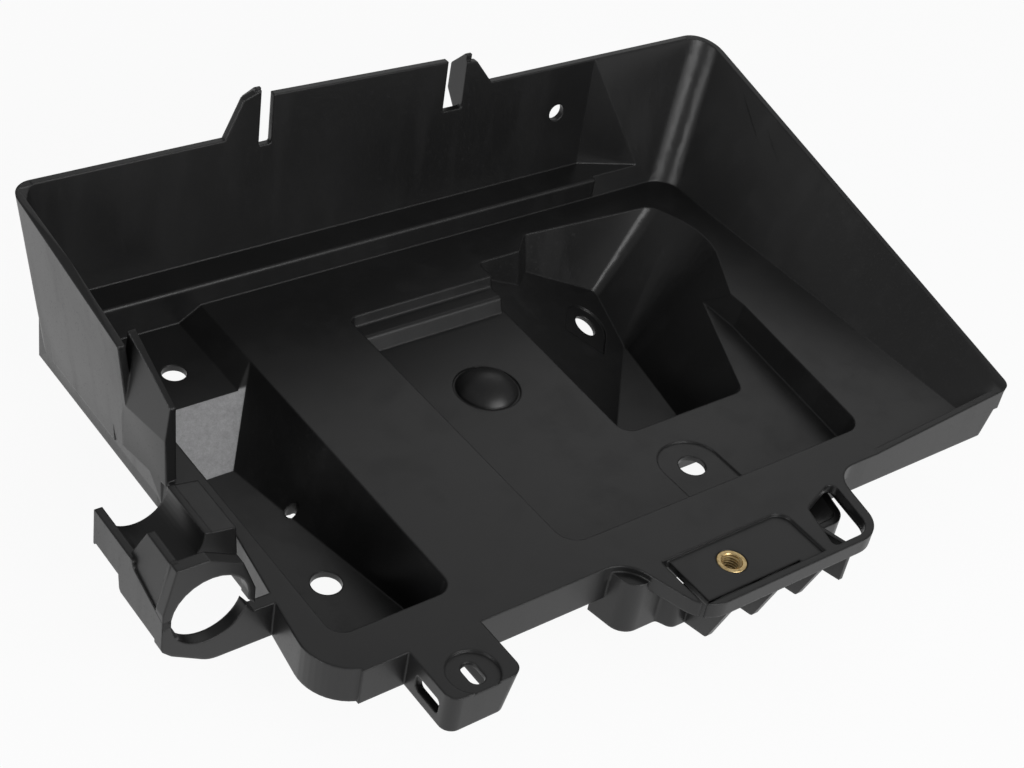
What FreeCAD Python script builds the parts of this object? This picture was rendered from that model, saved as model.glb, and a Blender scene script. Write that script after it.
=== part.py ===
import FreeCAD, Part
import math
import os

# Car battery tray: one plastic moulding with a hose clip at its left, and a pressed-in brass insert.
# X runs along the battery, Y runs from the front skirt to the back wall, and Z is up from the deck.
# While it is modelled, x = 0 is the left edge of the battery's platform and z = 0 is the deck.

# General sizes of the moulding
WALL = 3.0
SKIRT_DEPTH = 16.5
PLATFORM_LENGTH = 261.0
FRONT = -23.0
FLOOR_DEPTH = 207.0
EDGE_RADIUS = 1.2

# Back wall: its foot, the hollow bar along it, and the upper wall that leans back
BAR_DEPTH = 14.5
BAR_HEIGHT = 10.5
BAR_END_X = 214.0
BAR_RUN_OUT = 34.0
BACK_LEAN = 0.03
RIM_HEIGHT = 67.0
BACK_LEFT_RADIUS = 9.0
BACK_RIGHT_RADIUS = 15.0

# Tabs and slots of the back wall's rim
TAB_HEIGHT = 87.0
CREST_LEFT_HEIGHT = 84.0
CREST_RIGHT_HEIGHT = 82.0
TAB_FOOT_X = 17.0
TAB_TOP_X = 25.0
SLOT_A_X = 33.0
SLOT_A_WIDTH = 6.2
SLOT_A_BOTTOM = 61.0
SLOT_B_X = 127.5
SLOT_B_WIDTH = 10.5
SLOT_B_BOTTOM = 57.0
TAB_B_RUN = 9.5
EAR_DEPTH = 9.0
EAR_WIDTH = 2.6
WALL_HOLE_X = 195.5
WALL_HOLE_Z = 42.4
WALL_HOLE_RADIUS = 4.25

# Left wall, and the panel that folds inwards at its front end
LEFT_FOOT = 64.7
LEFT_LEAN = 0.138
LEFT_END_Y = 113.0
LEFT_END_HEIGHT = 54.5
PANEL_CREASE_HEIGHT = 20.5
PANEL_END_Y = 91.0
PANEL_TOP_HEIGHT = 35.5
PANEL_FOLD = 3.2
PANEL_LEAN = 0.06
PANEL_FOOT_X = 58.5

# Right wall: a ramp that is steep at the back and nearly flat at the front
RAMP_WIDTH = 23.5
RIM_WIDTH = 2.8
RIGHT_SKIRT_INSET = 7.3
RIGHT_FRONT_HEIGHT = 7.5
FRONT_RIGHT_RADIUS = 4.0
LIP_START_X = 205.0

# Left strip of the deck, with its notch
STRIP_FRONT_X = 66.3
STRIP_BACK_X = 61.5
NOTCH_X = 54.0
NOTCH_BACK_Y = 67.0
NOTCH_FRONT_Y = 72.0
FRONT_LEFT_RADIUS = 20.0

# Ledge beside the back wall, and the deep pocket in front of it
LEDGE_DEPTH = 6.5
LEDGE_FRONT_Y = 134.0
LEDGE_SLOPE = 10.0
LEDGE_HOLE_X = -27.6
LEDGE_HOLE_Y = 155.2
LEDGE_HOLE_RADIUS = 5.2
POCKET_DEPTH = 25.0
POCKET_LEFT = 51.0
POCKET_FRONT_Y = -5.0
POCKET_FOOT_Y = 110.0
POCKET_FOOT_BACK_X = -24.5
POCKET_FOOT_FRONT_X = -3.0
POCKET_DRAFT = 3.0
POCKET_RADIUS = 7.0
SHOULDER_RADIUS = 7.0
POCKET_HOLE_X = -24.6
POCKET_HOLE_Y = 39.1
POCKET_HOLE_RADIUS = 6.2
DRAIN_X = -16.8
DRAIN_Y = 78.0
DRAIN_RADIUS = 2.5

# Shallow recess in the platform
RECESS_DEPTH = 12.0
RECESS_LEFT = 52.0
RECESS_FRONT_Y = -6.5
RECESS_BACK_Y = 150.0
RECESS_RIGHT_FRONT_X = 212.0
RECESS_RIGHT_MID_X = 224.5
RECESS_RIGHT_MID_Y = 83.0
RECESS_DRAFT = 3.0
RECESS_RADIUS = 9.0
STEP_DEPTH = 5.0
STEP_TREAD = 8.0
STEP_END_X = 128.0

# Domed boss, and the bolt hole in a sunk pad
BOSS_X = 89.7
BOSS_Y = 96.4
BOSS_BASE_RADIUS = 13.5
BOSS_HEIGHT = 7.0
BOSS_RING = 1.2
FRONT_HOLE_X = 139.0
FRONT_HOLE_Y = 17.3
FRONT_HOLE_RADIUS = 5.9
PAD_RADIUS = 14.5
PAD_SINK = 0.7

# Deep well at the back right, with a sloping floor round its bolt hole
WELL_DEPTH = 45.0
WELL_LEFT = 124.0
WELL_FRONT_Y = 44.0
WELL_BACK_Y = 161.0
WELL_JOG_X = 158.0
WELL_JOG = 10.0
WELL_CORNER_GAP = 24.0
WELL_SIDE_GAP = 12.0
WELL_FRONT_GAP = 64.0
WELL_TURN_RADIUS = 40.0
WELL_SIDE_Y = 135.0
WELL_SLOPE = 44.0
WELL_DRAFT = 5.0
WELL_RADIUS = 8.0
WELL_HOLE_X = 182.0
WELL_HOLE_Y = 137.0
WELL_HOLE_DEPTH = 35.0
WELL_HOLE_RADIUS = 6.0
WELL_FLOOR_TURN = 42.0
WELL_FLOOR_TILT = 27.0
WELL_PAD_SINK = 1.0
WELL_PAD_RADIUS = 11.5
WELL_PAD_RUN = 14.0

# Shelf that stands out of the front, with its lip, box and gussets
SHELF_LEFT = 62.0
SHELF_RIGHT = 184.0
SHELF_REACH = 35.5
SHELF_FLARE = 13.0
SHELF_RADIUS = 14.0
SHELF_THROAT = 13.0
LIP_DEPTH = 7.0
SHELF_PLATE = 3.0
PAD_LEFT = 82.3
PAD_RIGHT = 142.0
PAD_DROP = 1.2
PAD_BACK_Y = -30.0
GROOVE_WIDTH = 4.0
GROOVE_DEPTH = 5.5
SLIT_WIDTH = 1.6
SLIT_END_X = 130.0
BOX_DEPTH = 28.0
BOX_REACH = 17.5
BOX_LEFT = 58.0
BOX_STEP_X = 79.0
BOX_STEP = 6.0
BOX_RADIUS = 8.0
GUSSET_THICKNESS = 2.7
GUSSET_FIRST_X = 90.0
GUSSET_PITCH = 24.3
GUSSET_COUNT = 3
GUSSET_SLANT = 6.0
GUSSET_DEPTH = 25.0
WINDOW_LEFT = 147.0
WINDOW_RIGHT = 168.0

# Brass insert with an M8 thread, and its seat in the shelf
INSERT_X = 104.8
INSERT_Y = -41.7
INSERT_RADIUS = 6.2
INSERT_LENGTH = 13.0
INSERT_BORE_RADIUS = 3.4
INSERT_CHAMFER = 0.8
INSERT_GROOVE = 0.5
INSERT_GROOVE_WIDTH = 1.6
SEAT_CLEARANCE = 0.05
SEAT_WALL = 3.0

# Mounting tab at the front left, a small box with a slot in its top and a window in its side
TAB_LEFT = -32.0
TAB_WIDTH = 31.0
TAB_REACH = 26.5
TAB_CORNER = 5.0
TAB_TAPER = 4.3
TAB_SLOT_X = -17.3
TAB_SLOT_Y = -41.0
TAB_SLOT_LENGTH = 10.5
TAB_SLOT_RADIUS = 3.25
TAB_DISH_RADIUS = 10.0
TAB_DISH_DEPTH = 1.0
TAB_WINDOW_Y = -36.0
TAB_WINDOW_LENGTH = 14.0
TAB_WINDOW_TOP = 5.5
TAB_WINDOW_BOTTOM = 12.5

# Hose clip at the left: a closed ring, an open trough, and the plate that joins them outside
CLIP_X = -87.0
RING_Y = 19.0
RING_THICKNESS = 5.0
RING_Z = 9.0
RING_RADIUS = 15.0
RING_FOOT = -16.5
CLIP_PLATE = 3.0
CLIP_OUTER_X = -105.2
PLATE_LOW_Z = -1.0
PLATE_TOP_Z = 20.0
ARM_START_Y = 50.0
ARM_END_Y = 70.0
ARM_LOW_Z = 6.0
ARM_HOOK = 2.5
TROUGH_Z = 15.0
TROUGH_RADIUS = 13.0
TROUGH_START_Y = 47.0
TROUGH_END_Y = 75.0
TROUGH_WALL = 2.6
CLIP_RIB = 2.6

BACK = FRONT + FLOOR_DEPTH
BACK_FACE = BACK + BAR_DEPTH + WALL
RIGHT_RIM = PLATFORM_LENGTH + RAMP_WIDTH + RIM_WIDTH
RIGHT_SKIRT = RIGHT_RIM - RIGHT_SKIRT_INSET
SKIRT = -SKIRT_DEPTH
SKY = 1.35
CUT = 1.0


def vec(x, y, z=0.0):
    return FreeCAD.Vector(x, y, z)


def wire(points, radii=None):
    """Closed wire through the points, each corner rounded by its radius."""
    count = len(points)
    radii = radii or [0.0] * count
    edges = []
    starts = []
    ends = []
    for index, point in enumerate(points):
        before = (points[index - 1] - point).normalize()
        after = (points[(index + 1) % count] - point).normalize()
        half = before.getAngle(after) / 2.0
        back_off = radii[index] / math.tan(half)
        starts.append(point + before * back_off)
        ends.append(point + after * back_off)
        if radii[index] > 0:
            inward = (before + after).normalize()
            middle = point + inward * (radii[index] / math.sin(half) - radii[index])
            edges.append(Part.Arc(starts[-1], middle, ends[-1]).toShape())
    for index in range(count):
        start = ends[index]
        end = starts[(index + 1) % count]
        if start.distanceToPoint(end) > 1e-6:
            edges.append(Part.makeLine(start, end))
    return Part.Wire(Part.__sortEdges__(edges))


def plan(corners, height):
    """Wire at one height through (x, y, radius) corners."""
    return wire([vec(c[0], c[1], height) for c in corners], [c[2] for c in corners])


def prism(corners, low, high):
    """Upright solid between two heights."""
    return Part.Face(plan(corners, low)).extrude(vec(0, 0, high - low))


def taper(bottom, low, top, high):
    """Solid between two like outlines at two heights."""
    return Part.makeLoft([plan(bottom, low), plan(top, high)], True, True)


def slab_along_x(profile, start, end):
    """Solid along X from (y, z, radius) corners."""
    points = [vec(start, c[0], c[1]) for c in profile]
    return Part.Face(wire(points, [c[2] for c in profile])).extrude(vec(end - start, 0, 0))


def slab_along_y(profile, start, end):
    """Solid along Y from (x, z, radius) corners."""
    points = [vec(c[0], start, c[1]) for c in profile]
    return Part.Face(wire(points, [c[2] for c in profile])).extrude(vec(0, end - start, 0))


def sharp(*points):
    """Corners with no radius."""
    return [(p[0], p[1], 0.0) for p in points]


def grow(corners, distance):
    """The outline moved outwards by a distance; its corners run counter-clockwise."""
    grown = []
    count = len(corners)
    for index, (x, y, radius) in enumerate(corners):
        before = vec(*corners[index - 1][:2])
        after = vec(*corners[(index + 1) % count][:2])
        here = vec(x, y)
        first = (here - before).normalize()
        second = (after - here).normalize()
        normal_a = vec(first.y, -first.x)
        normal_b = vec(second.y, -second.x)
        moved = here + (normal_a + normal_b) * (distance / (1.0 + normal_a.dot(normal_b)))
        convex = first.cross(second).z > 0
        new_radius = radius + distance if convex else radius - distance
        grown.append((moved.x, moved.y, max(new_radius, 0.0) if radius else 0.0))
    return grown


def drill(x, y, radius, low, high):
    """Upright cylinder."""
    return Part.makeCylinder(radius, high - low, vec(x, y, low))


def fillet(solid, radius, chosen):
    """The solid with the edges that pass the test rounded."""
    edges = [edge for edge in solid.Edges if chosen(edge)]
    return solid.makeFillet(radius, edges)


def near(edge, x=None, y=None, z=None, slack=0.6):
    """Whether both ends of the edge lie at the given coordinates."""
    ends = [edge.valueAt(edge.FirstParameter), edge.valueAt(edge.LastParameter)]
    wanted = ((0, x), (1, y), (2, z))
    return all(abs(end[axis] - value) < slack for end in ends for axis, value in wanted if value is not None)


def back_outer(height):
    """Where the back wall's outer face lies at a height."""
    return BACK_FACE + BACK_LEAN * (height + SKIRT_DEPTH)


def left_outer(height):
    """Where the left wall's outer face lies at a height."""
    return -LEFT_FOOT - LEFT_LEAN * (height + SKIRT_DEPTH)


def left_rim(y):
    """Height of the left wall's rim."""
    slope = (RIM_HEIGHT - LEFT_END_HEIGHT) / (back_outer(RIM_HEIGHT) - LEFT_END_Y)
    return RIM_HEIGHT - slope * (back_outer(RIM_HEIGHT) - y)


def right_rim(y):
    """Height of the right wall's rim."""
    slope = (RIM_HEIGHT - RIGHT_FRONT_HEIGHT) / (back_outer(RIM_HEIGHT) - FRONT)
    return RIGHT_FRONT_HEIGHT + slope * (y - FRONT)


def tray_outside():
    """The tray as a closed block, with the rim's slopes and its round corners."""
    front = [vec(left_outer(SKIRT), FRONT, SKIRT), vec(RIGHT_SKIRT, FRONT, SKIRT),
             vec(RIGHT_RIM, FRONT, right_rim(FRONT)), vec(left_outer(left_rim(FRONT)), FRONT, left_rim(FRONT))]
    back_top = back_outer(RIM_HEIGHT)
    back = [vec(left_outer(SKIRT), BACK_FACE, SKIRT), vec(RIGHT_SKIRT, BACK_FACE, SKIRT),
            vec(RIGHT_RIM, back_top, RIM_HEIGHT), vec(left_outer(RIM_HEIGHT), back_top, RIM_HEIGHT)]
    block = Part.makeLoft([wire(front), wire(back)], True, True)

    def upright(x, y):
        return lambda edge: near(edge, y=y, slack=5.0) and all(
            abs(vertex.X - x) < 14.0 for vertex in edge.Vertexes) and edge.Length > 20.0

    block = fillet(block, BACK_LEFT_RADIUS, upright(left_outer(RIM_HEIGHT / 2), BACK_FACE))
    block = fillet(block, BACK_RIGHT_RADIUS, upright(RIGHT_RIM, BACK_FACE))
    return fillet(block, FRONT_RIGHT_RADIUS, upright(RIGHT_RIM, FRONT))


def tray_inside():
    """The space inside the walls, above the deck."""
    start = FRONT - 2 * WALL
    rise_front = right_rim(start)
    inner_top = BACK_FACE - WALL + BACK_LEAN * (RIM_HEIGHT + SKIRT_DEPTH)
    lean = (inner_top - BACK) / RIM_HEIGHT
    ramp = RAMP_WIDTH * SKY
    top = RIM_HEIGHT * SKY
    front_top = left_rim(start) + 2 * WALL
    front = [vec(left_outer(0) + WALL, start, 0), vec(PLATFORM_LENGTH, start, 0),
             vec(PLATFORM_LENGTH + ramp, start, rise_front * SKY),
             vec(left_outer(front_top) + WALL, start, front_top)]
    back = [vec(left_outer(0) + WALL, BACK, 0), vec(PLATFORM_LENGTH, BACK, 0),
            vec(PLATFORM_LENGTH + ramp, BACK + lean * top, top),
            vec(left_outer(top) + WALL, BACK + lean * top, top)]
    space = Part.makeLoft([wire(front), wire(back)], True, True)

    def back_corner(x):
        return lambda edge: all(vertex.Y > BACK - 1.0 for vertex in edge.Vertexes) and abs(
            edge.Vertexes[0].Z - edge.Vertexes[1].Z) > 20.0 and all(
            abs(vertex.X - x) < 34.0 for vertex in edge.Vertexes)

    return fillet(space, BACK_RIGHT_RADIUS - WALL, back_corner(PLATFORM_LENGTH))


def upper_recess():
    """The space above the bar, up to the leaning back wall, which runs out to the right."""
    top = TAB_HEIGHT + WALL
    low = BAR_HEIGHT

    def section(height):
        left = left_outer(height) + WALL
        rear = back_outer(height) - WALL
        corner = BACK_LEFT_RADIUS - WALL
        return [(left, BACK - WALL, 0.0), (BAR_END_X, BACK - WALL, 0.0), (BAR_END_X, rear, 0.0), (left, rear, corner)]

    space = taper(section(low), low, section(top), top)
    floor_front = vec(BAR_END_X, BACK - WALL, low)
    floor_back = vec(BAR_END_X, back_outer(low) - WALL, low)
    crest = vec(BAR_END_X, back_outer(RIM_HEIGHT) - WALL, RIM_HEIGHT)
    run_out = vec(BAR_END_X + BAR_RUN_OUT, BACK, low)
    faces = ((floor_front, floor_back, crest), (floor_front, floor_back, run_out),
             (floor_back, crest, run_out), (crest, floor_front, run_out))
    shell = Part.makeShell([Part.Face(Part.makePolygon(list(face) + [face[0]])) for face in faces])
    return space, Part.makeSolid(shell)


def back_wall_crest():
    """The part of the back wall that stands above the side rims, with its tabs and slots."""
    low = RIM_HEIGHT - WALL
    left = left_outer(RIM_HEIGHT) + BACK_LEFT_RADIUS
    right = RIGHT_RIM - BACK_RIGHT_RADIUS
    slot_a_end = SLOT_A_X + SLOT_A_WIDTH
    slot_b_end = SLOT_B_X + SLOT_B_WIDTH
    elevation = sharp((left, low), (right, low), (right, RIM_HEIGHT), (slot_b_end + 2.2 * EAR_WIDTH + TAB_B_RUN,
                      RIM_HEIGHT), (slot_b_end + 2.2 * EAR_WIDTH, CREST_RIGHT_HEIGHT - WALL),
                      (SLOT_B_X, CREST_RIGHT_HEIGHT), (slot_a_end, CREST_LEFT_HEIGHT), (SLOT_A_X, TAB_HEIGHT),
                      (TAB_TOP_X, TAB_HEIGHT - WALL), (TAB_FOOT_X, RIM_HEIGHT), (left, RIM_HEIGHT))
    band = slab_along_y(elevation, BACK, BACK_FACE + EAR_DEPTH)
    high = TAB_HEIGHT + WALL
    wall = slab_along_x(sharp((back_outer(low) - WALL, low), (back_outer(low), low), (back_outer(high), high),
                              (back_outer(high) - WALL, high)), left, right)
    return band.common(wall)


def rim_slots():
    """The two slots down from the rim."""
    y_start = BACK_FACE - 2 * WALL
    y_end = BACK_FACE + 2 * WALL
    slots = []
    for x, width, bottom in ((SLOT_A_X, SLOT_A_WIDTH, SLOT_A_BOTTOM), (SLOT_B_X, SLOT_B_WIDTH, SLOT_B_BOTTOM)):
        opening = [(x, bottom, 1.0), (x + width, bottom, 1.0), (x + width, TAB_HEIGHT + WALL, 0.0),
                   (x, TAB_HEIGHT + WALL, 0.0)]
        slots.append(slab_along_y(opening, y_start, y_end))
    return slots


def ears():
    """Flanges that stand out behind the wall along the slots."""
    made = []
    inner = back_outer(SLOT_B_BOTTOM) - WALL
    for x, bottom, top in ((SLOT_A_X - EAR_WIDTH, SLOT_A_BOTTOM, TAB_HEIGHT + CUT),
                           (SLOT_B_X + SLOT_B_WIDTH, SLOT_B_BOTTOM, CREST_RIGHT_HEIGHT + CUT)):
        profile = [(inner + WALL / 2, bottom - EAR_DEPTH, 0.0), (inner + WALL + EAR_DEPTH, bottom + EAR_DEPTH / 2, 1.5),
                   (inner + WALL + EAR_DEPTH, top - EAR_DEPTH, 2.0), (inner + WALL, top, 0.0),
                   (inner + WALL / 2, top, 0.0)]
        made.append(slab_along_x(profile, x, x + EAR_WIDTH))
    return made


def deck_outline():
    """Outline of the deck, counter-clockwise from the front left."""
    return [(-STRIP_FRONT_X, FRONT, FRONT_LEFT_RADIUS), (PLATFORM_LENGTH + WALL, FRONT, 0.0),
            (PLATFORM_LENGTH + WALL, BACK_FACE - WALL / 2, 0.0), (left_outer(0) + WALL / 2, BACK_FACE - WALL / 2, 0.0),
            (left_outer(0) + WALL / 2, PANEL_END_Y + 2 * WALL, 0.0), (-STRIP_BACK_X, NOTCH_BACK_Y, 1.0),
            (-NOTCH_X, NOTCH_FRONT_Y, 1.0)]


def deck():
    """Deck plate with the skirt round it, as a block."""
    return prism(deck_outline(), SKIRT, 0.0)


def deck_hollow():
    """The space under the deck."""
    return prism(grow(deck_outline(), -WALL), SKIRT - CUT, -WALL)


def right_hollow():
    """The space between the ramp and the outer skirt."""
    bottom = SKIRT - CUT
    sections = []
    for y in (FRONT + WALL, BACK_FACE - 2 * WALL):
        rim = right_rim(y)
        slope = math.atan2(rim, RAMP_WIDTH)
        below = WALL / math.cos(slope)
        share = 0.74 - 0.1 * rim / RIM_HEIGHT
        top_x = PLATFORM_LENGTH + RAMP_WIDTH * share
        top_z = rim * share - below
        side = RIGHT_SKIRT + RIGHT_SKIRT_INSET * (top_z - SKIRT) / (rim - SKIRT) - WALL
        sections.append(wire([vec(PLATFORM_LENGTH + WALL, y, bottom), vec(PLATFORM_LENGTH + WALL, y, -below / 2 - WALL),
                              vec(min(top_x, side), y, top_z), vec(RIGHT_SKIRT - WALL, y, bottom)]))
    return Part.makeLoft(sections, True, True)


def bar():
    """The step along the foot of the back wall."""
    profile = [(BACK, -LEDGE_DEPTH - WALL, 0.0), (BACK_FACE - WALL / 2, -LEDGE_DEPTH - WALL, 0.0),
               (BACK_FACE - WALL / 2, BAR_HEIGHT, 0.0), (BACK, BAR_HEIGHT, 1.5)]
    return slab_along_x(profile, left_outer(0) + WALL / 2, BAR_END_X)


def bar_hollow():
    """The space inside the bar, open below."""
    profile = [(BACK + WALL, SKIRT - CUT, 0.0), (BACK_FACE - WALL, SKIRT - CUT, 0.0),
               (BACK_FACE - WALL, BAR_HEIGHT - WALL, 0.0), (BACK + WALL, BAR_HEIGHT - WALL, 1.0)]
    return slab_along_x(profile, left_outer(0) + 2.2 * WALL, PLATFORM_LENGTH - WALL)


def left_front_clearance():
    """What is taken off the block in front of the left wall, outside the strip."""
    x_left = left_outer(TAB_HEIGHT) - WALL
    above = [(FRONT - WALL, 0.0, 0.0), (PANEL_END_Y + 2 * WALL, 0.0, 0.0), (PANEL_END_Y, PANEL_CREASE_HEIGHT, 0.0),
             (LEFT_END_Y + WALL, PANEL_CREASE_HEIGHT, 0.0), (LEFT_END_Y, TAB_HEIGHT, 0.0),
             (FRONT - WALL, TAB_HEIGHT, 0.0)]
    high = slab_along_x(above, x_left, 0.0)
    low = prism(sharp((x_left, FRONT - WALL), (-POCKET_LEFT, FRONT - WALL), (-POCKET_LEFT, PANEL_END_Y + WALL),
                      (x_left, PANEL_END_Y + WALL)), SKIRT - CUT, CUT)
    return high, low


def beyond(block, first, second, third):
    """The block without what lies on the far side of the plane through three points."""
    normal = (second - first).cross(third - first).normalize()
    side = 4 * RIM_HEIGHT
    sheet = Part.makePlane(2 * side, 2 * side, vec(-side, -side, 0.0))
    sheet.Placement = FreeCAD.Placement(first, FreeCAD.Rotation(vec(0, 0, 1), normal))
    return block.cut(sheet.extrude(normal * side))


def panel_corners():
    """Outer corners of the folded panel: low rear, low front, top front and top rear."""
    crease = PANEL_CREASE_HEIGHT
    rear_low = vec(left_outer(crease), LEFT_END_Y + WALL, crease)
    front_low = vec(left_outer(crease) + PANEL_FOLD, PANEL_END_Y, crease)
    front_rise = vec(PANEL_LEAN, 0, 1) * (PANEL_TOP_HEIGHT - crease)
    rear_rise = vec(PANEL_LEAN, 0, 1) * (LEFT_END_HEIGHT - WALL - crease)
    return rear_low, front_low, front_low + front_rise, rear_low + rear_rise


def folded_panel():
    """The flat panel that runs on from the left wall, folding inwards, and the solid foot inside it."""
    rear_low, front_low, front_top, rear_top = panel_corners()
    inward = (front_low - rear_low).cross(vec(PANEL_LEAN, 0, 1)).normalize() * -WALL
    sheet = Part.Face(wire([rear_low, front_low, front_top, rear_top])).extrude(inward)
    foot_low = -WALL / 2
    outer_foot = vec(-PANEL_FOOT_X, PANEL_END_Y + 2 * WALL, foot_low)
    inner_foot = vec(-POCKET_LEFT, LEFT_END_Y + CUT, foot_low)
    foot = Part.makeBox(8 * WALL, LEFT_END_Y + 2 * WALL - PANEL_END_Y, LEFT_END_HEIGHT,
                        vec(rear_low.x, PANEL_END_Y, foot_low))
    foot = beyond(foot, rear_low, front_low, rear_top)
    foot = beyond(foot, rear_low, vec(-LEFT_FOOT, PANEL_END_Y, SKIRT), front_low)
    foot = beyond(foot, front_top + inward, outer_foot, inner_foot)
    foot = beyond(foot, rear_top + inward, front_top + inward, inner_foot)
    return sheet, foot


def fold_clearance():
    """What is taken off the left wall below the panel's crease, where it folds inwards."""
    rear_low, front_low = panel_corners()[:2]
    wedge = Part.makeBox(4 * WALL, rear_low.y - PANEL_END_Y + CUT, rear_low.z - SKIRT + CUT,
                         vec(rear_low.x - WALL, PANEL_END_Y - CUT, SKIRT - CUT))
    return beyond(wedge, rear_low, front_low, vec(-LEFT_FOOT, PANEL_END_Y, SKIRT))


def ledge_space(extra=0.0):
    """The sunk ledge beside the back wall."""
    rear = BACK - extra / 2
    left = left_outer(-LEDGE_DEPTH) + WALL
    low = [(left, LEDGE_FRONT_Y, 0.0), (-LEDGE_SLOPE, LEDGE_FRONT_Y, 0.0), (-LEDGE_SLOPE, rear, 0.0), (left, rear, 0.0)]
    high = [(left_outer(0) + WALL, LEDGE_FRONT_Y, 0.0), (0.0, LEDGE_FRONT_Y, 0.0), (0.0, rear, 0.0),
            (left_outer(0) + WALL, rear, 0.0)]
    if extra:
        low = grow(low, extra)
        high = grow(high, extra)
    return taper(low, -LEDGE_DEPTH - extra, high, 0.0)


def pocket_space(extra=0.0):
    """The deep pocket at the left, whose right side twists from upright to sloping."""
    run = (LEDGE_FRONT_Y - POCKET_FOOT_Y) / (POCKET_DEPTH - LEDGE_DEPTH)
    radius = POCKET_RADIUS
    low = [(-POCKET_LEFT + POCKET_DRAFT / 2, POCKET_FRONT_Y + POCKET_DRAFT, radius),
           (POCKET_FOOT_FRONT_X, POCKET_FRONT_Y + POCKET_DRAFT, radius / 2),
           (POCKET_FOOT_BACK_X, POCKET_FOOT_Y, 0.0), (-POCKET_LEFT + POCKET_DRAFT / 2, POCKET_FOOT_Y, 0.0)]
    high = [(-POCKET_LEFT, POCKET_FRONT_Y, radius), (0.0, POCKET_FRONT_Y, radius),
            (0.0, LEDGE_FRONT_Y + run * LEDGE_DEPTH, 0.0), (-POCKET_LEFT, LEDGE_FRONT_Y + run * LEDGE_DEPTH, 0.0)]
    if extra:
        low = grow(low, extra)
        high = grow(high, extra)
    return taper(low, -POCKET_DEPTH - extra, high, 0.0)


def recess_outline():
    """Outline of the shallow recess at the deck."""
    return [(RECESS_LEFT, RECESS_FRONT_Y, RECESS_RADIUS), (RECESS_RIGHT_FRONT_X, RECESS_FRONT_Y, RECESS_RADIUS),
            (RECESS_RIGHT_MID_X, RECESS_RIGHT_MID_Y, 0.0), (RECESS_RIGHT_MID_X, RECESS_BACK_Y, 0.0),
            (RECESS_LEFT, RECESS_BACK_Y, RECESS_RADIUS / 2)]


def recess_space(extra=0.0):
    """The shallow recess, which the well cuts into."""
    high = recess_outline()
    low = grow(high, -RECESS_DRAFT)
    if extra:
        high = grow(high, extra)
        low = grow(low, extra)
    return taper(low, -RECESS_DEPTH - extra, high, 0.0)


def recess_steps():
    """Two treads along the recess's back edge."""
    rear = RECESS_BACK_Y + CUT
    tread = RECESS_BACK_Y - 1.5 - STEP_TREAD
    profile = [(rear, -RECESS_DEPTH - CUT, 0.0), (rear, 0.0, 0.0), (RECESS_BACK_Y, 0.0, 0.0),
               (RECESS_BACK_Y - 1.5, -STEP_DEPTH, 1.0), (tread, -STEP_DEPTH, 2.0),
               (tread - RECESS_DRAFT, -RECESS_DEPTH, 1.0), (tread - RECESS_DRAFT, -RECESS_DEPTH - CUT, 0.0)]
    return slab_along_x(profile, RECESS_LEFT - CUT, STEP_END_X)


def well_outline():
    """Outline of the deep well at the deck, counter-clockwise from its front left."""
    right = PLATFORM_LENGTH
    return [(WELL_LEFT, WELL_FRONT_Y, WELL_RADIUS), (right - WELL_FRONT_GAP, WELL_FRONT_Y, WELL_RADIUS),
            (right - WELL_SIDE_GAP, WELL_SIDE_Y, WELL_TURN_RADIUS),
            (right - WELL_CORNER_GAP, WELL_BACK_Y + WELL_JOG / 2, WELL_RADIUS),
            (WELL_JOG_X + WELL_JOG / 2, WELL_BACK_Y + WELL_JOG, WELL_DRAFT / 2),
            (WELL_JOG_X - WELL_JOG / 2, WELL_BACK_Y, WELL_DRAFT / 2),
            (WELL_LEFT + WELL_DRAFT, WELL_BACK_Y, WELL_DRAFT / 2)]


def well_foot():
    """Outline of the well at its lowest floor, in the same order."""
    right = PLATFORM_LENGTH - WELL_CORNER_GAP - WELL_SLOPE
    left = WELL_LEFT + WELL_DRAFT
    return [(left, WELL_FRONT_Y + WELL_DRAFT, WELL_RADIUS / 2),
            (right - WELL_SLOPE / 4, WELL_FRONT_Y + WELL_DRAFT, WELL_RADIUS / 2),
            (right + WELL_DRAFT, WELL_SIDE_Y - 2 * WELL_DRAFT, WELL_TURN_RADIUS / 2),
            (right + WELL_DRAFT / 2, WELL_BACK_Y - WELL_DRAFT, WELL_RADIUS / 2),
            (WELL_JOG_X + WELL_JOG / 2, WELL_BACK_Y - WELL_DRAFT / 2, WELL_DRAFT / 4),
            (WELL_JOG_X - WELL_JOG / 2, WELL_BACK_Y - 2 * WELL_DRAFT, WELL_DRAFT / 4),
            (left + WELL_DRAFT, WELL_BACK_Y - 2 * WELL_DRAFT, WELL_DRAFT / 4)]


def floor_normal():
    """Direction that the well's sloping floor faces."""
    turn = math.radians(WELL_FLOOR_TURN)
    tilt = math.radians(WELL_FLOOR_TILT)
    return vec(math.sin(tilt) * math.cos(turn), -math.sin(tilt) * math.sin(turn), math.cos(tilt))


def hole_centre():
    """Centre of the well's bolt hole."""
    return vec(WELL_HOLE_X, WELL_HOLE_Y, -WELL_HOLE_DEPTH)


def below_slope(drop):
    """Block below the well's sloping floor, moved down by a drop."""
    side = 3 * WELL_DEPTH
    normal = floor_normal()
    base = Part.makePlane(2 * side, 2 * side, vec(-side, -side, 0.0))
    base.Placement = FreeCAD.Placement(hole_centre() - normal * drop, FreeCAD.Rotation(vec(0, 0, 1), normal))
    return base.extrude(normal * -side)


def well_space(extra=0.0):
    """The deep well, with the sloping floor left in."""
    high = well_outline()
    low = well_foot()
    if extra:
        high = grow(high, extra)
        low = grow(low, extra)
    return taper(low, -WELL_DEPTH - extra, high, 0.0).cut(below_slope(extra))


def tilted_hole(radius, depth_up, depth_down):
    """Cylinder through the sloping floor."""
    normal = floor_normal()
    return Part.makeCylinder(radius, depth_up + depth_down, hole_centre() - normal * depth_down, normal)


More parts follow.
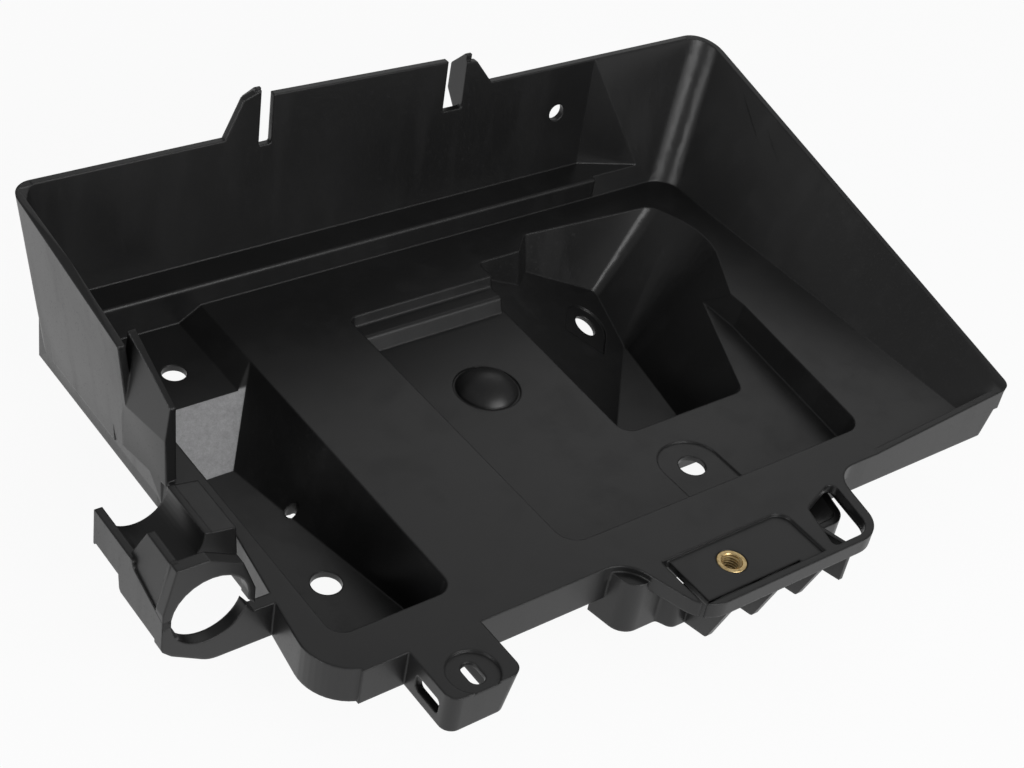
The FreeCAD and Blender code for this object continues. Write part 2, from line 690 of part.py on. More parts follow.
def well_pad():
    """Sunk U-shaped pad round the well's bolt hole, open down the slope."""
    normal = floor_normal()
    centre = hole_centre() - normal * WELL_PAD_SINK
    disc = Part.makeCylinder(WELL_PAD_RADIUS, WELL_PAD_SINK + CUT, centre, normal)
    downhill = vec(-normal.y, normal.x, 0).normalize()
    across = normal.cross(downhill).normalize()
    start = centre - across * WELL_PAD_RADIUS
    corners = [start, start + across * 2 * WELL_PAD_RADIUS, start + across * 2 * WELL_PAD_RADIUS - downhill * WELL_PAD_RUN,
               start - downhill * WELL_PAD_RUN]
    tongue = Part.Face(wire(corners)).extrude(normal * (WELL_PAD_SINK + CUT))
    return disc.fuse(tongue)


def boss():
    """Domed boss on the recess's floor, a cap of a ball."""
    radius = (BOSS_BASE_RADIUS ** 2 + BOSS_HEIGHT ** 2) / (2 * BOSS_HEIGHT)
    return Part.makeSphere(radius, vec(BOSS_X, BOSS_Y, BOSS_HEIGHT - RECESS_DEPTH - radius))


def boss_ring():
    """Thin sunk ring round the boss."""
    ring = drill(BOSS_X, BOSS_Y, BOSS_BASE_RADIUS + BOSS_RING, -RECESS_DEPTH - PAD_SINK, -RECESS_DEPTH)
    return ring.cut(drill(BOSS_X, BOSS_Y, BOSS_BASE_RADIUS, -RECESS_DEPTH - PAD_SINK, -RECESS_DEPTH))


def front_pad():
    """Sunk U-shaped pad round the front bolt hole, open to the recess's front edge."""
    shape = [(FRONT_HOLE_X - PAD_RADIUS, RECESS_FRONT_Y + RECESS_DRAFT, 0.0),
             (FRONT_HOLE_X + PAD_RADIUS, RECESS_FRONT_Y + RECESS_DRAFT, 0.0),
             (FRONT_HOLE_X + PAD_RADIUS, FRONT_HOLE_Y + PAD_RADIUS, PAD_RADIUS - CUT),
             (FRONT_HOLE_X - PAD_RADIUS, FRONT_HOLE_Y + PAD_RADIUS, PAD_RADIUS - CUT)]
    return prism(shape, -RECESS_DEPTH - PAD_SINK, -RECESS_DEPTH)


def shelf_outline():
    """Outline of the shelf at the front, counter-clockwise."""
    front = FRONT - SHELF_REACH
    return [(SHELF_LEFT - 2 * SHELF_THROAT, FRONT, 0.0), (SHELF_LEFT + SHELF_FLARE / 3, FRONT, SHELF_THROAT),
            (SHELF_LEFT + SHELF_FLARE + 3.0, front, SHELF_RADIUS), (SHELF_RIGHT - SHELF_FLARE + 1.0, front, SHELF_RADIUS),
            (SHELF_RIGHT - SHELF_FLARE / 3, FRONT, SHELF_THROAT), (SHELF_RIGHT + 2 * SHELF_THROAT, FRONT, 0.0),
            (SHELF_RIGHT + 2 * SHELF_THROAT, FRONT + 2 * WALL, 0.0), (SHELF_LEFT - 2 * SHELF_THROAT, FRONT + 2 * WALL, 0.0)]


def shelf():
    """Shelf plate with its lip."""
    return prism(shelf_outline(), -LIP_DEPTH, 0.0)


def shelf_hollow():
    """The space under the shelf plate, inside the lip."""
    front = FRONT - SHELF_REACH
    inside = [(SHELF_LEFT + SHELF_FLARE / 3, FRONT + WALL, 0.0),
              (SHELF_LEFT + SHELF_FLARE + 3.0, front, SHELF_RADIUS),
              (SHELF_RIGHT - SHELF_FLARE + 1.0, front, SHELF_RADIUS),
              (SHELF_RIGHT - SHELF_FLARE / 3, FRONT + WALL, 0.0)]
    return prism(grow(inside, -WALL), -LIP_DEPTH - CUT, -SHELF_PLATE - PAD_DROP)


def box_outline():
    """Outline of the stiffening box under the shelf."""
    front = FRONT - BOX_REACH
    return [(BOX_LEFT + 1.0, FRONT + 2 * WALL, 0.0), (BOX_LEFT + 4.0, front + BOX_STEP, BOX_RADIUS),
            (BOX_STEP_X, front + BOX_STEP, 2.0), (BOX_STEP_X + BOX_STEP / 2, front, 4.0),
            (SHELF_RIGHT - SHELF_FLARE, front, BOX_RADIUS), (SHELF_RIGHT - BOX_STEP, FRONT + 2 * WALL, 0.0)]


def shelf_box():
    """Stiffening box under the shelf, open below."""
    return prism(box_outline(), -BOX_DEPTH, -SHELF_PLATE)


def shelf_box_hollow():
    return prism(grow(box_outline(), -WALL), -BOX_DEPTH - CUT, -SHELF_PLATE - PAD_DROP)


def gussets():
    """Three plates between the shelf's lip and the box."""
    lip = FRONT - SHELF_REACH
    profile = [(lip + CUT, -SHELF_PLATE, 0.0), (lip, -LIP_DEPTH, 0.0), (lip + GUSSET_SLANT, -GUSSET_DEPTH, 2.0),
               (FRONT - BOX_REACH + WALL / 2, -BOX_DEPTH, 0.0), (FRONT - BOX_REACH + WALL / 2, -SHELF_PLATE, 0.0)]
    plates = []
    for index in range(GUSSET_COUNT):
        x = GUSSET_FIRST_X + index * GUSSET_PITCH
        plates.append(slab_along_x(profile, x - GUSSET_THICKNESS / 2, x + GUSSET_THICKNESS / 2))
    return plates


def shelf_cuts():
    """Sunk pad, groove, slit and open corner of the shelf."""
    lip_inside = FRONT - SHELF_REACH + WALL
    pad = prism([(PAD_LEFT - GROOVE_WIDTH, lip_inside, 3.0), (PAD_RIGHT, lip_inside, 0.0), (PAD_RIGHT, PAD_BACK_Y, 6.0),
                 (PAD_LEFT - GROOVE_WIDTH, PAD_BACK_Y, 2.0)], -PAD_DROP, CUT)
    groove = prism([(PAD_LEFT - GROOVE_WIDTH, lip_inside, 1.5), (PAD_LEFT, lip_inside, 0.0),
                    (PAD_LEFT, PAD_BACK_Y, 1.0), (PAD_LEFT - GROOVE_WIDTH, PAD_BACK_Y, 1.0)],
                   -LIP_DEPTH - CUT, CUT)
    slit = prism(sharp((PAD_LEFT - CUT, lip_inside), (SLIT_END_X, lip_inside), (SLIT_END_X, lip_inside + SLIT_WIDTH),
                       (PAD_LEFT - CUT, lip_inside + SLIT_WIDTH)), -LIP_DEPTH - CUT, CUT)
    window = prism([(WINDOW_LEFT, lip_inside, 2.0), (WINDOW_RIGHT, lip_inside, 9.0),
                    (WINDOW_RIGHT + 6.0, FRONT - BOX_STEP / 2, 3.0), (WINDOW_LEFT + 6.0, FRONT - BOX_STEP * 1.8, 4.0)],
                   -LIP_DEPTH - CUT, CUT)
    return [pad, groove, slit, window]


def window_rib():
    """Rib across the shelf's open corner."""
    lip_inside = FRONT - SHELF_REACH + WALL
    x = (WINDOW_LEFT + WINDOW_RIGHT) / 2
    return prism(sharp((x - 1.0, lip_inside - CUT), (x + 1.0, lip_inside - CUT), (x - 4.0, FRONT - BOX_REACH + WALL),
                       (x - 6.0, FRONT - BOX_REACH + WALL)), -BOX_DEPTH + 2 * WALL, -SHELF_PLATE - PAD_DROP)


def insert_seat_outside():
    """Boss under the shelf that holds the insert."""
    return drill(INSERT_X, INSERT_Y, INSERT_RADIUS + SEAT_WALL, -PAD_DROP - INSERT_LENGTH - SEAT_WALL, -PAD_DROP)


def insert_seat_inside():
    """Blind seat for the insert, with a screw hole on through its bottom."""
    radius = INSERT_RADIUS + SEAT_CLEARANCE
    seat = drill(INSERT_X, INSERT_Y, radius, -PAD_DROP - INSERT_LENGTH, -PAD_DROP + CUT)
    through = drill(INSERT_X, INSERT_Y, INSERT_BORE_RADIUS + CUT, -PAD_DROP - INSERT_LENGTH - SEAT_WALL - CUT, -PAD_DROP)
    return seat.fuse(through)


def threaded_insert():
    """Brass sleeve: chamfered ends, a retaining groove and a bore at the thread's inner size."""
    top = -PAD_DROP
    low = top - INSERT_LENGTH
    outer = INSERT_RADIUS
    waist = outer - INSERT_GROOVE
    middle = (top + low) / 2
    half = INSERT_GROOVE_WIDTH / 2
    bore = INSERT_BORE_RADIUS
    profile = [vec(bore, 0, low), vec(outer - INSERT_CHAMFER, 0, low), vec(outer, 0, low + INSERT_CHAMFER),
               vec(outer, 0, middle - half), vec(waist, 0, middle - half), vec(waist, 0, middle + half),
               vec(outer, 0, middle + half), vec(outer, 0, top - INSERT_CHAMFER / 2),
               vec(outer - INSERT_CHAMFER / 2, 0, top), vec(bore + INSERT_CHAMFER, 0, top),
               vec(bore, 0, top - INSERT_CHAMFER)]
    sleeve = Part.Face(wire(profile)).revolve(vec(0, 0, 0), vec(0, 0, 1), 360)
    sleeve.translate(vec(INSERT_X, INSERT_Y, 0))
    return sleeve


def tab_outline(shrink=0.0):
    """Outline of the mounting tab; shrink draws its right side in."""
    right = TAB_LEFT + TAB_WIDTH - shrink
    front = FRONT - TAB_REACH
    return [(TAB_LEFT, front, TAB_CORNER), (right, front, TAB_CORNER), (right, FRONT + WALL, 0.0),
            (TAB_LEFT, FRONT + WALL, 0.0)]


def tab():
    """Mounting tab as a block, narrower at its foot."""
    return taper(tab_outline(TAB_TAPER), SKIRT, tab_outline(), 0.0)


def tab_hollow():
    """The space under the tab's top."""
    return taper(grow(tab_outline(TAB_TAPER), -WALL), SKIRT - CUT, grow(tab_outline(CUT), -WALL), -WALL)


def tab_cuts():
    """Dish, slot and side window of the tab."""
    half = TAB_SLOT_LENGTH / 2
    radius = TAB_SLOT_RADIUS
    slot = prism([(TAB_SLOT_X - radius, TAB_SLOT_Y - half, radius - 0.01), (TAB_SLOT_X + radius, TAB_SLOT_Y - half,
                  radius - 0.01), (TAB_SLOT_X + radius, TAB_SLOT_Y + half, radius - 0.01),
                  (TAB_SLOT_X - radius, TAB_SLOT_Y + half, radius - 0.01)], -WALL - CUT, CUT)
    dish = drill(TAB_SLOT_X, TAB_SLOT_Y, TAB_DISH_RADIUS, -TAB_DISH_DEPTH, CUT)
    reach = TAB_WINDOW_LENGTH / 2
    window = slab_along_x([(TAB_WINDOW_Y - reach, -TAB_WINDOW_BOTTOM, 2.0), (TAB_WINDOW_Y + reach, -TAB_WINDOW_BOTTOM, 2.0),
                           (TAB_WINDOW_Y + reach, -TAB_WINDOW_TOP, 2.0), (TAB_WINDOW_Y - reach, -TAB_WINDOW_TOP, 2.0)],
                          TAB_LEFT - CUT, TAB_LEFT + 2 * WALL)
    return [slot, dish, window]


def clip():
    """Hose clip: ring plate, outer plate, trough and the ribs to the strip."""
    strip_x = -STRIP_FRONT_X + 2 * WALL
    outer = CLIP_OUTER_X
    foot = RING_FOOT
    ring = slab_along_y([(outer + 4.0, -7.0, 3.0), (CLIP_X + 1.0, foot, 12.0), (strip_x, foot, 0.0),
                         (strip_x, 0.0, 0.0), (-STRIP_FRONT_X - WALL, 0.0, 1.0), (CLIP_X + 11.0, RING_Z, 0.0),
                         (outer + CLIP_PLATE, PLATE_TOP_Z - 9.0, 0.0), (outer, PLATE_TOP_Z - 9.0, 0.0),
                         (outer, -3.0, 3.0)], RING_Y, RING_Y + RING_THICKNESS)
    hole = Part.makeCylinder(RING_RADIUS, RING_THICKNESS + 2 * CUT, vec(CLIP_X, RING_Y - CUT, RING_Z), vec(0, 1, 0))
    ring = ring.cut(hole)
    plate = slab_along_x([(RING_Y, PLATE_LOW_Z, 0.0), (ARM_START_Y, PLATE_LOW_Z, 2.0), (ARM_START_Y + 1.0, ARM_LOW_Z, 0.0),
                          (ARM_END_Y - 2.0, ARM_LOW_Z, 0.0), (ARM_END_Y, ARM_LOW_Z - 2.0, 0.5),
                          (ARM_END_Y, PLATE_TOP_Z + 1.0, 0.5), (TROUGH_START_Y - 6.0, PLATE_TOP_Z + 1.0, 2.0),
                          (TROUGH_START_Y - 6.0, PLATE_TOP_Z - 2.0, 2.0), (RING_Y, PLATE_TOP_Z - 9.0, 2.0)],
                         outer, outer + CLIP_PLATE)
    outer_radius = TROUGH_RADIUS + TROUGH_WALL
    tube = Part.makeCylinder(outer_radius, TROUGH_END_Y - TROUGH_START_Y, vec(CLIP_X, TROUGH_START_Y, TROUGH_Z), vec(0, 1, 0))
    bore = Part.makeCylinder(TROUGH_RADIUS, TROUGH_END_Y - TROUGH_START_Y + 2 * CUT,
                             vec(CLIP_X, TROUGH_START_Y - CUT, TROUGH_Z), vec(0, 1, 0))
    above = Part.makeBox(4 * TROUGH_RADIUS, 2 * (TROUGH_END_Y - TROUGH_START_Y), 2 * outer_radius,
                         vec(outer - CUT, TROUGH_START_Y - CUT, TROUGH_Z))
    web = slab_along_y(sharp((CLIP_X, TROUGH_Z - outer_radius), (strip_x, -WALL), (strip_x, 0.0),
                             (-STRIP_BACK_X, TROUGH_Z - 2.0), (CLIP_X + TROUGH_RADIUS, TROUGH_Z)),
                       TROUGH_START_Y, TROUGH_END_Y)
    web = web.cut(bore)
    trough = tube.fuse(web).cut(bore).cut(above)
    ridge = slab_along_x(sharp((RING_Y + RING_THICKNESS, TROUGH_Z - 4.0), (TROUGH_START_Y + 1.0, TROUGH_Z),
                               (TROUGH_START_Y + 1.0, PLATE_LOW_Z), (RING_Y + RING_THICKNESS, PLATE_LOW_Z)),
                         CLIP_X - TROUGH_RADIUS - CLIP_RIB, CLIP_X - TROUGH_RADIUS)
    floor = slab_along_y(sharp((outer, PLATE_LOW_Z), (CLIP_X - TROUGH_RADIUS + CUT, PLATE_LOW_Z),
                               (CLIP_X - TROUGH_RADIUS + CUT, PLATE_LOW_Z + CLIP_RIB), (outer, PLATE_LOW_Z + CLIP_RIB)),
                         RING_Y, TROUGH_START_Y + 2.0)
    return [ring, plate, trough, ridge, floor]


def front_lip():
    """Low lip along the front edge, rising to the right corner."""
    rise = RIGHT_FRONT_HEIGHT
    profile = sharp((LIP_START_X, -WALL), (RIGHT_RIM - FRONT_RIGHT_RADIUS, -WALL),
                    (RIGHT_RIM - FRONT_RIGHT_RADIUS, rise - 0.5), (LIP_START_X, 0.0))
    return slab_along_y(profile, FRONT, FRONT + WALL)


def tray_body():
    """The whole moulding."""
    block = tray_outside()
    high, low = left_front_clearance()
    body = block.cut(tray_inside()).cut(high).cut(low).cut(fold_clearance())
    body = body.cut(right_hollow())
    under = deck_hollow()
    body = body.cut(under)
    solids = [deck().cut(under), bar(), back_wall_crest(), front_lip(), tab(), shelf(), shelf_box()]
    solids += list(folded_panel())
    body = body.fuse(solids)
    body = body.fuse([ledge_space(WALL), pocket_space(WALL), recess_space(WALL), well_space(WALL)])
    body = body.fuse(ears() + gussets() + [insert_seat_outside()])
    body = body.fuse(clip())
    recess_rear, run_out = upper_recess()
    recess = recess_space().cut(recess_steps()).cut(boss())
    spaces = [recess_rear, run_out, bar_hollow(), ledge_space(), pocket_space(), recess, well_space(),
              well_pad(), boss_ring(), front_pad(), tab_hollow(), shelf_hollow().cut(insert_seat_outside()).cut(
                  Part.makeCompound(gussets())), shelf_box_hollow().cut(insert_seat_outside())]
    spaces += rim_slots() + tab_cuts() + shelf_cuts()
    spaces += [insert_seat_inside(),
               drill(LEDGE_HOLE_X, LEDGE_HOLE_Y, LEDGE_HOLE_RADIUS, -LEDGE_DEPTH - 2 * WALL, CUT),
               drill(POCKET_HOLE_X, POCKET_HOLE_Y, POCKET_HOLE_RADIUS, -POCKET_DEPTH - 2 * WALL, CUT),
               drill(DRAIN_X, DRAIN_Y, DRAIN_RADIUS, -POCKET_DEPTH - 2 * WALL, CUT),
               drill(FRONT_HOLE_X, FRONT_HOLE_Y, FRONT_HOLE_RADIUS, -RECESS_DEPTH - 2 * WALL, CUT),
               tilted_hole(WELL_HOLE_RADIUS, CUT, 2 * WALL),
               Part.makeCylinder(WALL_HOLE_RADIUS, 6 * WALL, vec(WALL_HOLE_X, BACK_FACE - 4 * WALL, WALL_HOLE_Z),
                                 vec(0, 1, 0))]
    body = body.cut(spaces)
    body = body.fuse([window_rib()])
    return body.removeSplitter()


def main():
    body = tray_body()
    insert = threaded_insert()
    box = body.optimalBoundingBox(False, False)
    home = vec(-(box.XMin + box.XMax) / 2, -(box.YMin + box.YMax) / 2, -box.ZMin)
    os.makedirs("parts", exist_ok=True)
    for name, shape in (("tray_body", body), ("threaded_insert", insert)):
        shape.translate(home)
        shape.exportStep("parts/" + name + ".step")
        print(name, len(shape.Solids), round(shape.Volume), shape.isValid())


main()
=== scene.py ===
import bmesh
import bpy
import math
from mathutils import Matrix, Vector


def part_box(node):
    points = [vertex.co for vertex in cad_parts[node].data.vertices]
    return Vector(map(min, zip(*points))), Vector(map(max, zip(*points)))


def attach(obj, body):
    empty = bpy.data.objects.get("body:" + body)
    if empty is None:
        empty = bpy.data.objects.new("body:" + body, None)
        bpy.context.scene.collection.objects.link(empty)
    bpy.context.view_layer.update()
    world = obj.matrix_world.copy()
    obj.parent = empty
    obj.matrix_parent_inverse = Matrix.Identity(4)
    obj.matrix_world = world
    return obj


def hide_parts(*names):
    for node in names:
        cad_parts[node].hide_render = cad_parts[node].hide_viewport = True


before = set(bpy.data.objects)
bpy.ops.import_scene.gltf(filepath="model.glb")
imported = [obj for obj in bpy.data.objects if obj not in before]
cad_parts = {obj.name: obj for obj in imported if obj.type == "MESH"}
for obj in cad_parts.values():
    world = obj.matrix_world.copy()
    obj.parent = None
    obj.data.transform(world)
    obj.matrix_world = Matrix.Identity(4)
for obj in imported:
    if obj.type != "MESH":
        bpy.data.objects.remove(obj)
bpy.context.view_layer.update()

MM = 0.001

# Where the modelling origin lies: x = 0 is the platform's left edge and z = 0 is the deck
INSERT_X = 104.8 * MM
INSERT_Y = -41.7 * MM
INSERT_TOP = -1.2 * MM
insert_low, insert_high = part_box("threaded_insert")
insert_middle = (insert_low + insert_high) / 2
HOME = Vector((insert_middle.x - INSERT_X, insert_middle.y - INSERT_Y, insert_high.z - INSERT_TOP))

# Camera of the photograph: its place from the modelling origin, and its axes
CAMERA_PLACE = Vector((-318.1, -351.9, 458.5)) * MM
CAMERA_RIGHT = Vector((0.7955, -0.5862, 0.1535))
CAMERA_BACK = Vector((-0.5432, -0.5775, 0.6095))
SENSOR_WIDTH = 36.0
FOCAL_LENGTH = 63.4

# Metric M8 thread of the insert
THREAD_PITCH = 1.25 * MM
THREAD_MINOR = 3.4 * MM
THREAD_MAJOR = 4.0 * MM
THREAD_STEPS = 32
SLEEVE_STEPS = 64
CHAMFER = 0.8 * MM
GROOVE = 0.8 * MM

# Section of the thread: half widths as a share of the pitch, and how far its root lies inside the sleeve
TOOTH_ROOT = 0.42
TOOTH_TIP = 0.08
TOOTH_SUNK = 0.1 * MM

# Soft edges of the moulding, and how its facets are joined and shaded
EDGE_ROUND = 1.2 * MM
SHARP_ANGLE = math.radians(26.0)
FLAT_ANGLE = math.radians(5.0)
FLAT_WIDTH = 1.6 * MM
MERGE = 0.05 * MM
COPLANAR = math.radians(1.0)

# Folded panel at the left wall's front end, in millimetres from the modelling origin
PANEL_LEFT = -78.0
PANEL_RIGHT = -58.0
PANEL_MARGIN = 1.0
PANEL_END_Y = 91.0
PANEL_TOP = 35.5
PANEL_REAR_Y = 116.0
PANEL_REAR_TOP = 51.5

# Arch that closes the hose clip's ring, and the cheek that carries it at the left, from the modelling origin
RING_X = -87.0
RING_Z = 9.0
RING_RADIUS = 15.0
RING_Y = 19.0
RING_SINK = 2.0
ARCH_DEPTH = 5.0
ARCH_OUTSIDE = ((-69.4, 4.0), (-69.6, 11.7), (-75.1, 25.6), (-88.5, 32.8), (-100.8, 33.0), (-105.2, 14.0),
                (-105.2, 6.0))
ARCH_STEPS = 14
CHEEK = ((-105.2, 23.0, 9.0), (-102.2, 23.0, 9.0), (-105.2, 48.0, 14.0), (-102.2, 48.0, 14.0),
         (-101.0, 23.0, 33.0), (-98.2, 23.0, 33.0), (-101.0, 39.5, 33.4), (-98.2, 39.5, 33.4))

# Sloped back step of the left pocket: its grain is real, and its lighter grey colour is painted light. In
# millimetres from the modelling origin
RISER_LEFT = -52.0
RISER_RIGHT = -4.0
RISER_FRONT_Y = 108.0
RISER_BACK_Y = 135.0
RISER_TOP = -6.0
RISER_EDGE = 1.0 * MM

# Soft lights: name, place from the modelling origin in millimetres, width and height in metres, watts
LIGHTS = (("front_softbox", (250, -1150, 620), 1.1, 0.6, 13.0),
          ("left_softbox", (-1400, -100, 330), 0.7, 0.5, 8.0),
          ("back_panel", (1250, 1300, 1250), 1.5, 1.5, 3.5))
LIT_SPOT = (100, 80, 0)
ROOM_LIGHT = 0.3
FLOOR_HALF = 4.0
FLOOR_GREY = 0.8
FLOOR_WHITE = 0.93

# Sockets of a Mix node that mixes colours
MIX_FACTOR = 0
MIX_FIRST = 6
MIX_SECOND = 7
MIX_RESULT = 2


def place(x, y, z):
    """A point given in millimetres from the modelling origin."""
    return HOME + Vector((x, y, z)) * MM


class Value:
    """A socket of a shader that takes part in sums."""

    def __init__(self, shader, socket):
        self.shader = shader
        self.socket = socket

    def maths(self, operation, *values):
        return self.shader.node("ShaderNodeMath", {"operation": operation}, dict(enumerate(values)))

    def __add__(self, other):
        return self.maths("ADD", self, other)

    def __rsub__(self, other):
        return self.maths("SUBTRACT", other, self)

    def __mul__(self, other):
        return self.maths("MULTIPLY", self, other)

    __radd__ = __add__
    __rmul__ = __mul__

    def above(self, limit, softness):
        """1 where the value is over the limit, 0 where it is under, with a soft edge."""
        span = {"clamp": True, "interpolation_type": "SMOOTHSTEP"}
        return self.shader.node("ShaderNodeMapRange", span, {
            "Value": self, "From Min": limit - softness, "From Max": limit + softness,
            "To Min": 0.0, "To Max": 1.0})

    def below(self, limit, softness):
        return 1.0 - self.above(limit, softness)


class Shader:
    """A material's nodes."""

    def __init__(self, name):
        self.material = bpy.data.materials.new(name)
        self.material.use_nodes = True
        self.nodes = self.material.node_tree.nodes
        self.links = self.material.node_tree.links
        self.nodes.clear()

    def node(self, kind, settings=None, inputs=None, output=0):
        """One node: its settings, then the values or links of its sockets."""
        made = self.nodes.new(kind)
        for key, value in (settings or {}).items():
            setattr(made, key, value)
        for key, value in (inputs or {}).items():
            if isinstance(value, Value):
                self.links.new(value.socket, made.inputs[key])
            elif value is not None:
                made.inputs[key].default_value = value
        return Value(self, made.outputs[output]) if len(made.outputs) else None

    def noise(self, scale, detail=3.0, roughness=0.5, vector=None):
        return self.node("ShaderNodeTexNoise", None, {
            "Vector": vector or self.coordinates(), "Scale": scale, "Detail": detail,
            "Roughness": roughness})

    def coordinates(self):
        return self.node("ShaderNodeTexCoord", None, None, "Object")

    def stretched(self, along):
        """Object coordinates scaled by a factor on each axis."""
        return self.node("ShaderNodeMapping", {"vector_type": "POINT"},
                         {"Vector": self.coordinates(), "Scale": along})

    def mixed(self, factor, first, second):
        return self.node("ShaderNodeMix", {"data_type": "RGBA"},
                         {MIX_FACTOR: factor, MIX_FIRST: first, MIX_SECOND: second}, MIX_RESULT)

    def surface(self, **sockets):
        names = {key.replace("_", " "): value for key, value in sockets.items()}
        bsdf = self.node("ShaderNodeBsdfPrincipled", None, names)
        self.finish(bsdf)
        return self.material

    def finish(self, closure):
        self.node("ShaderNodeOutputMaterial", None, {"Surface": closure})
        return self.material


def grey(level, alpha=1.0):
    return (level, level, level * 1.02, alpha)


def moulded_plastic():
    """Satin black moulding: fine grain, faint cloudiness, scuffs and handling dust. The sloped back step of
    the left pocket is painted lighter grey as painted light.
    """
    shader = Shader("black_moulding")
    x, y, z = (shader.node("ShaderNodeSeparateXYZ", None, {0: shader.coordinates()}, axis)
               for axis in range(3))
    facing = shader.node("ShaderNodeNewGeometry", None, None, "Normal")
    to_back, up = (shader.node("ShaderNodeSeparateXYZ", None, {0: facing}, axis) for axis in (1, 2))
    # Painted light: faces of the pocket's sloped back step that look front and up get a lighter grey colour
    # in place of the light they catch. The same mask also gives them real extra grain and roughness.
    facing_front = to_back.below(-0.4, 0.1) * up.above(0.4, 0.1)
    riser_grain_and_painted_light = (facing_front
             * x.above(HOME.x + RISER_LEFT * MM, RISER_EDGE) * x.below(HOME.x + RISER_RIGHT * MM, RISER_EDGE)
             * y.above(HOME.y + RISER_FRONT_Y * MM, RISER_EDGE)
             * y.below(HOME.y + RISER_BACK_Y * MM, RISER_EDGE)
             * z.below(HOME.z + RISER_TOP * MM, RISER_EDGE / 2))
    cloud = shader.noise(14.0, 4.0, 0.6)
    dust = shader.noise(900.0, 2.0, 0.7).above(0.64, 0.06)
    scuffs = shader.noise(1.0, 3.0, 0.6, shader.stretched((60.0, 60.0, 9.0))).above(0.58, 0.12)
    grain = shader.noise(1500.0, 2.0, 0.6)
    coarse = shader.noise(420.0, 3.0, 0.7)
    shade = cloud * 0.5 + dust * 0.3 + scuffs * 0.12
    colour = shader.mixed(shade, grey(0.004), grey(0.016))
    # Painted light: a speckled lighter grey on the sloped back step, standing in for its lit grain.
    speckled_painted_light = coarse * 0.6 + grain * 0.4
    colour = shader.mixed(riser_grain_and_painted_light, colour, shader.mixed(speckled_painted_light, grey(0.12), grey(0.42)))
    rough = 0.3 + cloud * 0.12 + scuffs * 0.06 + dust * 0.1 + riser_grain_and_painted_light * 0.1
    height = grain * 0.35 + coarse * 0.25 + riser_grain_and_painted_light * coarse * 2.2
    rounded = shader.node("ShaderNodeBevel", {"samples": 6}, {"Radius": EDGE_ROUND})
    bump = shader.node("ShaderNodeBump", None, {
        "Strength": 0.22, "Distance": 0.00012, "Height": height, "Normal": rounded})
    return shader.surface(Base_Color=colour, Roughness=rough, Normal=bump, IOR=1.46)


def turned_brass():
    """Yellow brass with turning marks and a little tarnish."""
    shader = Shader("insert_brass")
    marks = shader.noise(1.0, 2.0, 0.5, shader.stretched((300.0, 300.0, 9000.0)))
    stain = shader.noise(600.0, 4.0, 0.6)
    colour = shader.mixed(stain.above(0.55, 0.15), (0.62, 0.47, 0.24, 1.0), (0.36, 0.25, 0.11, 1.0))
    rough = 0.22 + marks * 0.14 + stain * 0.12
    bump = shader.node("ShaderNodeBump", None, {"Strength": 0.25, "Distance": 0.00005, "Height": marks})
    return shader.surface(Base_Color=colour, Roughness=rough, Metallic=1.0, Normal=bump)


def finished(mesh_maker, name, material, slot, *replaced):
    """A new piece on the tray from a bmesh."""
    crease(mesh_maker)
    mesh = bpy.data.meshes.new(name)
    mesh_maker.to_mesh(mesh)
    mesh_maker.free()
    mesh.materials.append(material)
    piece = bpy.data.objects.new(name, mesh)
    bpy.context.scene.collection.objects.link(piece)
    flatter = piece.modifiers.new("even_normals", "WEIGHTED_NORMAL")
    flatter.keep_sharp = True
    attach(piece, "root")
    if replaced:
        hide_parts(*replaced)
    return piece


def seen_from_home(vertex):
    """A vertex's place in millimetres from the modelling origin."""
    return (vertex.co - HOME) / MM


def trim_panel(shell):
    """Bring the solid foot behind the folded panel down to the panel's own top edge."""
    slope = (PANEL_REAR_TOP - PANEL_TOP) / (PANEL_REAR_Y - PANEL_END_Y)
    for vertex in shell.verts:
        spot = seen_from_home(vertex)
        top = PANEL_TOP + slope * (spot.y - PANEL_END_Y)
        along = PANEL_END_Y - PANEL_MARGIN < spot.y < PANEL_REAR_Y + PANEL_MARGIN
        if PANEL_LEFT < spot.x < PANEL_RIGHT and along and spot.z > top:
            vertex.co.z = HOME.z + top * MM


def broad(face):
    return 2.0 * face.calc_area() / face.calc_perimeter() > FLAT_WIDTH


def crease(shell):
    """Keep edges sharp between broad flats, and wherever the turn is steep."""
    for edge in shell.edges:
        if len(edge.link_faces) != 2:
            continue
        limit = FLAT_ANGLE if all(broad(face) for face in edge.link_faces) else SHARP_ANGLE
        edge.smooth = edge.calc_face_angle(0.0) < limit
    for face in shell.faces:
        face.smooth = True


def moulding(material):
    """The tray's moulding with its facets joined, so that round stretches shade as round."""
    shell = bmesh.new()
    shell.from_mesh(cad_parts["tray_body"].data)
    bmesh.ops.remove_doubles(shell, verts=shell.verts, dist=MERGE)
    bmesh.ops.dissolve_degenerate(shell, edges=shell.edges, dist=MERGE)
    bmesh.ops.dissolve_limit(shell, angle_limit=COPLANAR, use_dissolve_boundaries=False, verts=shell.verts,
                             edges=shell.edges, delimit=set())
    trim_panel(shell)
    bmesh.ops.connect_verts_nonplanar(shell, angle_limit=COPLANAR, faces=shell.faces)
    return finished(shell, "tray_moulding", material, "black_plastic", "tray_body")


